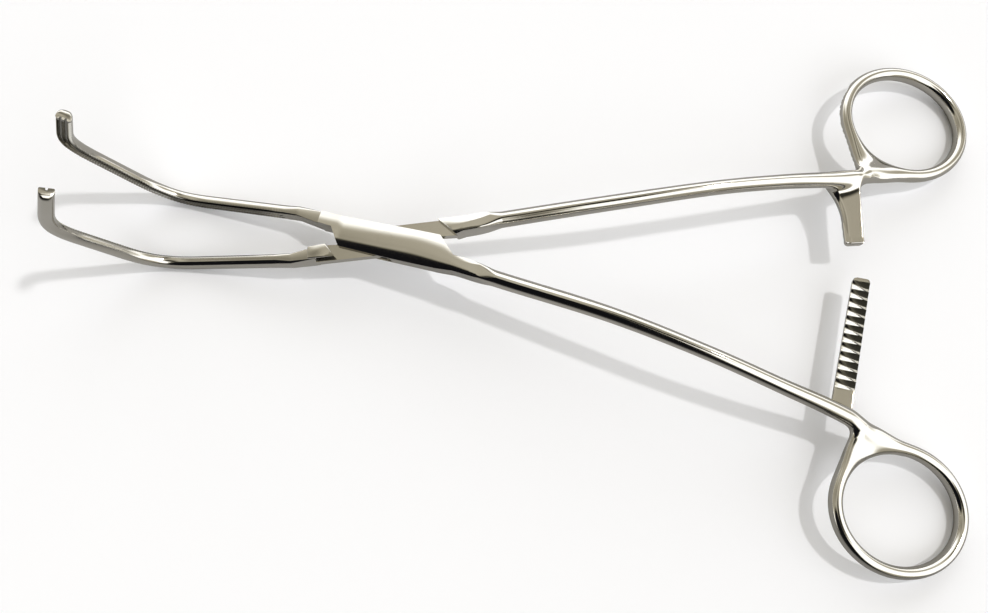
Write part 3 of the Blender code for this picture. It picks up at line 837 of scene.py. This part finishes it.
def box_body():
    """The box with its bore and the way through it that the tongue sweeps."""
    outline = [*BOX_FRONT_SLANT, *BOX_INNER_SIDE, *BOX_REAR_SLANT, *BOX_OUTER_SIDE]
    body = prism("box_body", outline, -BOX_HEIGHT, BOX_HEIGHT)
    slot = TONGUE_HEIGHT / 2 + RUNNING_GAP
    reach = SHOULDER_END + 2
    combine(body, cylinder("eye", TONGUE_RADIUS + RUNNING_GAP, 2 * slot), 'DIFFERENCE')
    for direction in (-1, 1):
        closed = [(0, 0), (direction * reach, 0), (direction * reach, direction * reach),
                  (0, direction * reach)]
        opened = turned(tongue_strip(direction, 0.0, RUNNING_GAP, reach), FULL_OPENING)
        for plan in (closed, opened):
            combine(body, prism("strip_way", plan, -slot, slot), 'DIFFERENCE')
    combine(body, cylinder("bore", BORE_RADIUS, BOX_HEIGHT + BORE_SPARE), 'DIFFERENCE')
    return body


def shoulder(slant, gap, direction, sides):
    inner, outer = sides
    near = slant_x(slant, direction * RUNNING_GAP) + direction * gap
    far = slant_x(slant, direction * outer) + direction * gap
    end = direction * SHOULDER_END
    corner = direction * (outer - SHOULDER_TAPER)
    outline = [(near, direction * RUNNING_GAP), (far, corner), (end, direction * outer),
               (end, direction * inner)]
    return bevel_edges(prism("shoulder", outline, -BOX_HEIGHT / 2, BOX_HEIGHT / 2), SHOULDER_EDGE)


def tongue_body():
    """The thin tongue with its bore, between the shoulders at both ends of the box."""
    thin = TONGUE_HEIGHT / 2
    body = cylinder("tongue_body", TONGUE_RADIUS, TONGUE_HEIGHT)
    for direction in (-1, 1):
        plan = tongue_strip(direction, RUNNING_GAP, 0.0, BOX_END)
        combine(body, prism("tongue_strip", plan, -thin, thin), 'UNION')
    face, thickness, _ = JAW_AT_BOX_END
    y, _, half_w, _ = shank_at(SHOULDER_END)
    combine(body, shoulder(BOX_FRONT_SLANT, SHOULDER_FRONT_GAP, -1, (face, face + thickness)),
            'UNION')
    combine(body, shoulder(BOX_REAR_SLANT, SHOULDER_REAR_GAP, 1, (-y - half_w, -y + half_w)),
            'UNION')
    bore = cylinder("bore", BORE_RADIUS + 0.1, BOX_HEIGHT + BORE_SPARE)
    return combine(body, bore, 'DIFFERENCE')


# Ratchet arms

def notch(t, share):
    """Depth of a notch at t, 0 to 1 from one crest to the next, in parts of the tooth depth."""
    low = NOTCH_LOW + NOTCH_SLANT * share ** NOTCH_SLANT_POWER
    if t < NOTCH_DROP:
        return NOTCH_LEDGE * t / NOTCH_DROP
    if t < low:
        return NOTCH_LEDGE + (1 - NOTCH_LEDGE) * (t - NOTCH_DROP) / (low - NOTCH_DROP)
    return (1 - t) / (1 - low)


def arm(name, side, end, teeth, level, up):
    """A toothed arm along Y; up is 1 where the teeth face up and -1 where they face down."""
    root = shank_at(RATCHET_X)[0]
    first = end - TOOTH_TIP_LAND
    spots = [root, end, *np.arange(first - teeth * TOOTH_PITCH, end, 0.1)]
    spots += [first - k * TOOTH_PITCH - 0.001 for k in range(teeth)]
    at_corner = set(end - ARM_CORNER * np.array((0.8, 0.5, 0.2)))
    rings = []
    for y in sorted(set(round(s, 4) for s in spots) | at_corner):
        over = max(0.0, (y - (end - ARM_CORNER)) / ARM_CORNER)
        half = ratchet_half_width(y, root)
        half -= ARM_CORNER * ARM_CORNER_LOSS * (1 - math.sqrt(max(0.0, 1 - over ** 2)))
        near_end = max(0.0, (y - (end - ARM_END_LENGTH)) / ARM_END_LENGTH)
        thick = RATCHET_THICKNESS - ARM_END_LOSS * near_end ** 2
        position = first - y
        k = math.floor(position / TOOTH_PITCH + 1e-6)
        face = []
        for u in np.linspace(-1, 1, 25):
            depth = 0.0
            if 0 <= k < teeth:
                depth = TOOTH_DEPTH * notch(position / TOOTH_PITCH - k, (u + 1) / 2)
            bevel = ARM_EDGE * max(0.0, abs(u) - 0.9) / 0.1
            face.append((u * half, -max(depth, bevel)))
        back = [(half, -thick + ARM_EDGE), (half - ARM_EDGE, -thick), (-half + ARM_EDGE, -thick),
                (-half, -thick + ARM_EDGE)]
        outline = [(RATCHET_X + x, y, level + up * z) for x, z in face + back]
        rings.append(mirrored(outline, side))
    return loft(name, rings)


# Materials

def nodes_for(material):
    material.use_nodes = True
    tree = material.node_tree
    return tree, tree.nodes["Principled BSDF"]


def add(tree, kind, **inputs):
    """A new node; a name that starts with _ is a setting of it, and any other an input."""
    node = tree.nodes.new(kind)
    for key, value in inputs.items():
        if key.startswith("_"):
            setattr(node, key[1:], value)
        else:
            node.inputs[key.replace("_", " ")].default_value = value
    return node


def smooth_step(tree, value, low, high):
    node = add(tree, "ShaderNodeMapRange", _interpolation_type='SMOOTHSTEP')
    node.inputs["From Min"].default_value = low
    node.inputs["From Max"].default_value = high
    tree.links.new(value, node.inputs["Value"])
    return node.outputs["Result"]


def maths(tree, operation, *values):
    node = add(tree, "ShaderNodeMath", _operation=operation)
    for socket, value in zip(node.inputs, values):
        if isinstance(value, (int, float)):
            socket.default_value = value
        else:
            tree.links.new(value, socket)
    return node.outputs["Value"]


def steel(name, colour, stain):
    """Polished instrument steel: fine scratches, cloudy polish and a faint warm film, with painted
    shade on the jaws' toothed faces.
    """
    material = bpy.data.materials.new(name)
    tree, shader = nodes_for(material)
    link = tree.links.new
    place = add(tree, "ShaderNodeTexCoord")
    cloud = add(tree, "ShaderNodeTexNoise", Scale=CLOUD_SCALE, Detail=4.0)
    link(place.outputs["Object"], cloud.inputs["Vector"])
    tint = add(tree, "ShaderNodeMix", _data_type='RGBA')
    tint.inputs["A"].default_value = (*colour, 1)
    tint.inputs["B"].default_value = (*stain, 1)
    link(cloud.outputs["Fac"], tint.inputs["Factor"])
    # Painted shade: faces marked toothed are mixed towards a darkened stain colour
    toothed = add(tree, "ShaderNodeAttribute", _attribute_name="toothed")
    tooth_shade_mix = add(tree, "ShaderNodeMix", _data_type='RGBA')
    link(toothed.outputs["Fac"], tooth_shade_mix.inputs["Factor"])
    link(tint.outputs["Result"], tooth_shade_mix.inputs["A"])
    tooth_shade_mix.inputs["B"].default_value = (*[c * TOOTHED_SHADE for c in stain], 1)
    link(tooth_shade_mix.outputs["Result"], shader.inputs["Base Color"])
    stretch = add(tree, "ShaderNodeMapping")
    stretch.inputs["Scale"].default_value = SCRATCH_SCALE
    link(place.outputs["Object"], stretch.inputs["Vector"])
    scratch = add(tree, "ShaderNodeTexNoise", Scale=1.0, Detail=3.0)
    link(stretch.outputs["Vector"], scratch.inputs["Vector"])
    rough = add(tree, "ShaderNodeMapRange", From_Min=0.3, From_Max=0.7,
                To_Min=STEEL_ROUGHNESS * 0.7, To_Max=STEEL_ROUGHNESS * 1.5)
    link(cloud.outputs["Fac"], rough.inputs["Value"])
    link(rough.outputs["Result"], shader.inputs["Roughness"])
    bump = add(tree, "ShaderNodeBump", Strength=0.05, Distance=0.00003)
    link(scratch.outputs["Fac"], bump.inputs["Height"])
    link(bump.outputs["Normal"], shader.inputs["Normal"])
    shader.inputs["Metallic"].default_value = 1.0
    return material


def floor_material():
    """White to the camera; duller in what the steel mirrors, and dark there near the viewer."""
    material = bpy.data.materials.new("table_white")
    tree, shader = nodes_for(material)
    link = tree.links.new
    place = add(tree, "ShaderNodeTexCoord")
    paper = add(tree, "ShaderNodeTexNoise", Scale=9.0, Detail=2.0)
    link(place.outputs["Object"], paper.inputs["Vector"])
    tone = add(tree, "ShaderNodeMix", _data_type='RGBA')
    tone.inputs["A"].default_value = (*FLOOR_COLOUR, 1)
    tone.inputs["B"].default_value = (*[c * FLOOR_SHADE for c in FLOOR_COLOUR], 1)
    link(paper.outputs["Fac"], tone.inputs["Factor"])
    # Painted reflection: rays other than the camera's see the duller floor colour, nearly black
    # near the viewer
    seen = add(tree, "ShaderNodeLightPath")
    white = add(tree, "ShaderNodeMix", _data_type='RGBA')
    link(seen.outputs["Is Camera Ray"], white.inputs["Factor"])
    split = add(tree, "ShaderNodeSeparateXYZ")
    link(place.outputs["Object"], split.inputs["Vector"])
    from_viewer = smooth_step(tree, split.outputs["Y"], *FLOOR_BOUNCE_FADE)
    bounce = add(tree, "ShaderNodeMix", _data_type='RGBA')
    bounce.inputs["A"].default_value = (*FLOOR_BOUNCE_NEAR, 1)
    bounce.inputs["B"].default_value = (*FLOOR_BOUNCE, 1)
    link(from_viewer, bounce.inputs["Factor"])
    link(bounce.outputs["Result"], white.inputs["A"])
    link(tone.outputs["Result"], white.inputs["B"])
    link(white.outputs["Result"], shader.inputs["Base Color"])
    shader.inputs["Roughness"].default_value = 1.0
    shader.inputs["Specular IOR Level"].default_value = 0.0
    return material


# The three pieces

def finish_half(name, side, front, rear_part, ratchet, material, body, node):
    """Mark the jaw's inward toothed faces for painted shade, put the half in its place, and tie it
    to its body.
    """
    # Painted shade: how strongly each inward face of the toothed jaw is darkened
    toothed = front.data.attributes.new("toothed", 'FLOAT', 'FACE')
    for polygon in front.data.polygons:
        inward = -polygon.normal.y * side
        on_jaw = polygon.center.x < -GROOVE_START and inward > TOOTHED_LEAST
        run_in = clamped((-polygon.center.x - GROOVE_START) / TOOTHED_RUN_IN)
        amount = min(1.0, TOOTHED_GAIN * inward) * run_in if on_jaw else 0.0
        toothed.data[polygon.index].value = amount
    for obj in (front, ratchet):
        obj.data.transform(half_matrix(side))
        smooth_shaded(obj)
    for obj in (joined(name, [front, ratchet]), rear_part):
        obj.data.materials.clear()
        obj.data.materials.append(material)
        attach(obj, body)
        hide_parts(node)


def box_half(level, material):
    """The half with the box; its long ratchet arm has the teeth on top, under the given level."""
    top = level - RATCHET_GAP / 2
    front = box_body()
    bevel_edges(front, BOX_EDGE, 2, 50)
    combine(front, ground_zone(1, LOFT_START), 'UNION')
    combine(front, jaw(1, LOFT_START, grooves=2), 'UNION')
    crowned(front, 1)
    plain_end = RATCHET_REACH - TOOTH_TIP_LAND - RATCHET_TEETH * TOOTH_PITCH
    forging = rear("box_half_rear", 1, top - RATCHET_THICKNESS, top + ROOT_SPARE, plain_end,
                   0.0, CLEAR_OF_NOTHING)
    ratchet = arm("long_ratchet", 1, RATCHET_REACH, RATCHET_TEETH, top, 1)
    finish_half("box_half_front", 1, front, forging, ratchet, material, "box_side", "box_half")


def tongue_half(level, material):
    """The half with the tongue; its short ratchet arm has the teeth below, over the given level."""
    bottom = level + RATCHET_GAP / 2
    front = tongue_body()
    combine(front, ground_zone(-1, BOX_END), 'UNION')
    combine(front, jaw(-1, BOX_END, grooves=1), 'UNION')
    crowned(front, -1)
    forging = rear("tongue_half_rear", -1, bottom + TOOTH_DEPTH + ROOT_UNDERCUT,
                   bottom + RATCHET_THICKNESS + ROOT_SPARE, RATCHET_SHORT_END, FACET_WIDTH, bottom)
    ratchet = arm("short_ratchet", -1, RATCHET_SHORT_END, RATCHET_SHORT_TEETH, bottom, -1)
    finish_half("tongue_half_front", -1, front, forging, ratchet, material, "tongue_side",
                "tongue_half")


def box_pin(material):
    """The pin, whose ends follow the crown of the box."""
    pin = crowned(cylinder("pin_face", PIN_RADIUS, BOX_HEIGHT - PIN_RECESS), 1)
    pin.data.transform(half_matrix(1))
    smooth_shaded(pin)
    pin.data.materials.append(material)
    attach(pin, "box_side")
    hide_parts("box_pin")


# Table, light and camera

def table_top():
    """A wide floor that sinks behind the clamp, to make room for a ring at the open limit.

    It is fitted to that pose alone.  At 1 to 35 degrees of opening the ring swings down before
    it reaches the slope, and dips by up to 4.3 mm into the level part.
    """
    slope =[(TABLE_EDGE + t * TABLE_SLOPE, -TABLE_DROP * eased(t)) for t in np.linspace(0, 1, 13)]
    rows = [(-TABLE_REACH, 0.0), *slope, (TABLE_REACH, -TABLE_DROP)]
    points = [(x, y, z) for y, z in rows for x in (-TABLE_REACH, TABLE_REACH)]
    quads = [(2 * i, 2 * i + 1, 2 * i + 3, 2 * i + 2) for i in range(len(rows) - 1)]
    mesh = bpy.data.meshes.new("table")
    mesh.from_pydata(points, [], quads)
    return new_object("table", mesh)


def key_light():
    data = bpy.data.lights.new("key", 'SUN')
    data.energy = SUN_ENERGY
    data.angle = math.radians(SUN_SPREAD)
    data.color = SUN_COLOUR
    sun = new_object("key", data)
    sun.rotation_euler = Vector(SUN_FROM).to_track_quat('Z', 'Y').to_euler()


def sky_patch(tree, direction, aim, low, high, least):
    """1 away from an aim direction of the sky, and the least value at it."""
    dot = add(tree, "ShaderNodeVectorMath", _operation='DOT_PRODUCT')
    dot.inputs[1].default_value = Vector(aim).normalized()
    tree.links.new(direction, dot.inputs[0])
    angle = maths(tree, 'ARCCOSINE', dot.outputs["Value"])
    away = smooth_step(tree, angle, math.radians(low), math.radians(high))
    return maths(tree, 'MULTIPLY_ADD', away, 1 - least, least) if least else away


def studio():
    """Sky of the studio, bright but for its dull patches; a plain white to the camera itself."""
    world = bpy.data.worlds.new("studio")
    bpy.context.scene.world = world
    world.use_nodes = True
    tree = world.node_tree
    link = tree.links.new
    background = tree.nodes["Background"]
    direction = add(tree, "ShaderNodeTexCoord").outputs["Generated"]
    factors = [sky_patch(tree, direction, *patch) for patch in SKY_PATCHES.values()]
    clouds = add(tree, "ShaderNodeTexNoise", Scale=SKY_CLOUDS, Detail=2.0)
    link(direction, clouds.inputs["Vector"])
    factors.append(maths(tree, 'MULTIPLY_ADD', clouds.outputs["Fac"], SKY_CLOUD_GAIN,
                         SKY_CLOUD_LEAST))
    value = factors[0]
    for factor in factors[1:]:
        value = maths(tree, 'MULTIPLY', value, factor)
    ramp = add(tree, "ShaderNodeValToRGB")
    elements = ramp.color_ramp.elements
    for i, (at, colour) in enumerate(SKY_COLOURS):
        element = elements[i] if i < 2 else elements.new(at)
        element.position = at
        element.color = (*colour, 1)
    link(value, ramp.inputs["Fac"])
    link(ramp.outputs["Color"], background.inputs["Color"])
    background.inputs["Strength"].default_value = SKY_STRENGTH
    seen = add(tree, "ShaderNodeLightPath")
    backdrop = add(tree, "ShaderNodeBackground", Color=SKY_SEEN, Strength=1.0)
    choice = add(tree, "ShaderNodeMixShader")
    link(seen.outputs["Is Camera Ray"], choice.inputs["Fac"])
    link(background.outputs["Background"], choice.inputs[1])
    link(backdrop.outputs["Background"], choice.inputs[2])
    link(choice.outputs["Shader"], tree.nodes["World Output"].inputs["Surface"])


def view_camera():
    data = bpy.data.cameras.new("camera")
    data.sensor_width = SENSOR_WIDTH
    data.lens = SENSOR_WIDTH * FOCAL_PIXELS / IMAGE_WIDTH
    data.clip_start = 0.01
    camera = new_object("camera", data)
    camera.location = PIN_AT + Vector(CAMERA_FROM_PIN)
    turn = (Matrix.Rotation(CAMERA_ROLL, 3, 'Z') @ Matrix.Rotation(CAMERA_PITCH, 3, 'X')
            @ Matrix.Rotation(CAMERA_YAW, 3, 'Z'))
    camera.rotation_euler = turn.to_euler()
    return camera


box_steel = steel("polished_steel_box_half", *BOX_STEEL)
tongue_steel = steel("polished_steel_tongue_half", *TONGUE_STEEL)
pin_steel = steel("polished_steel_pin", *BOX_STEEL)

sliding_level = ratchet_level()
box_half(sliding_level, box_steel)
tongue_half(sliding_level, tongue_steel)
box_pin(pin_steel)

table = table_top()
table.data.materials.append(floor_material())
key_light()
studio()
bpy.context.scene.camera = view_camera()
bpy.context.scene.view_settings.view_transform = 'Standard'
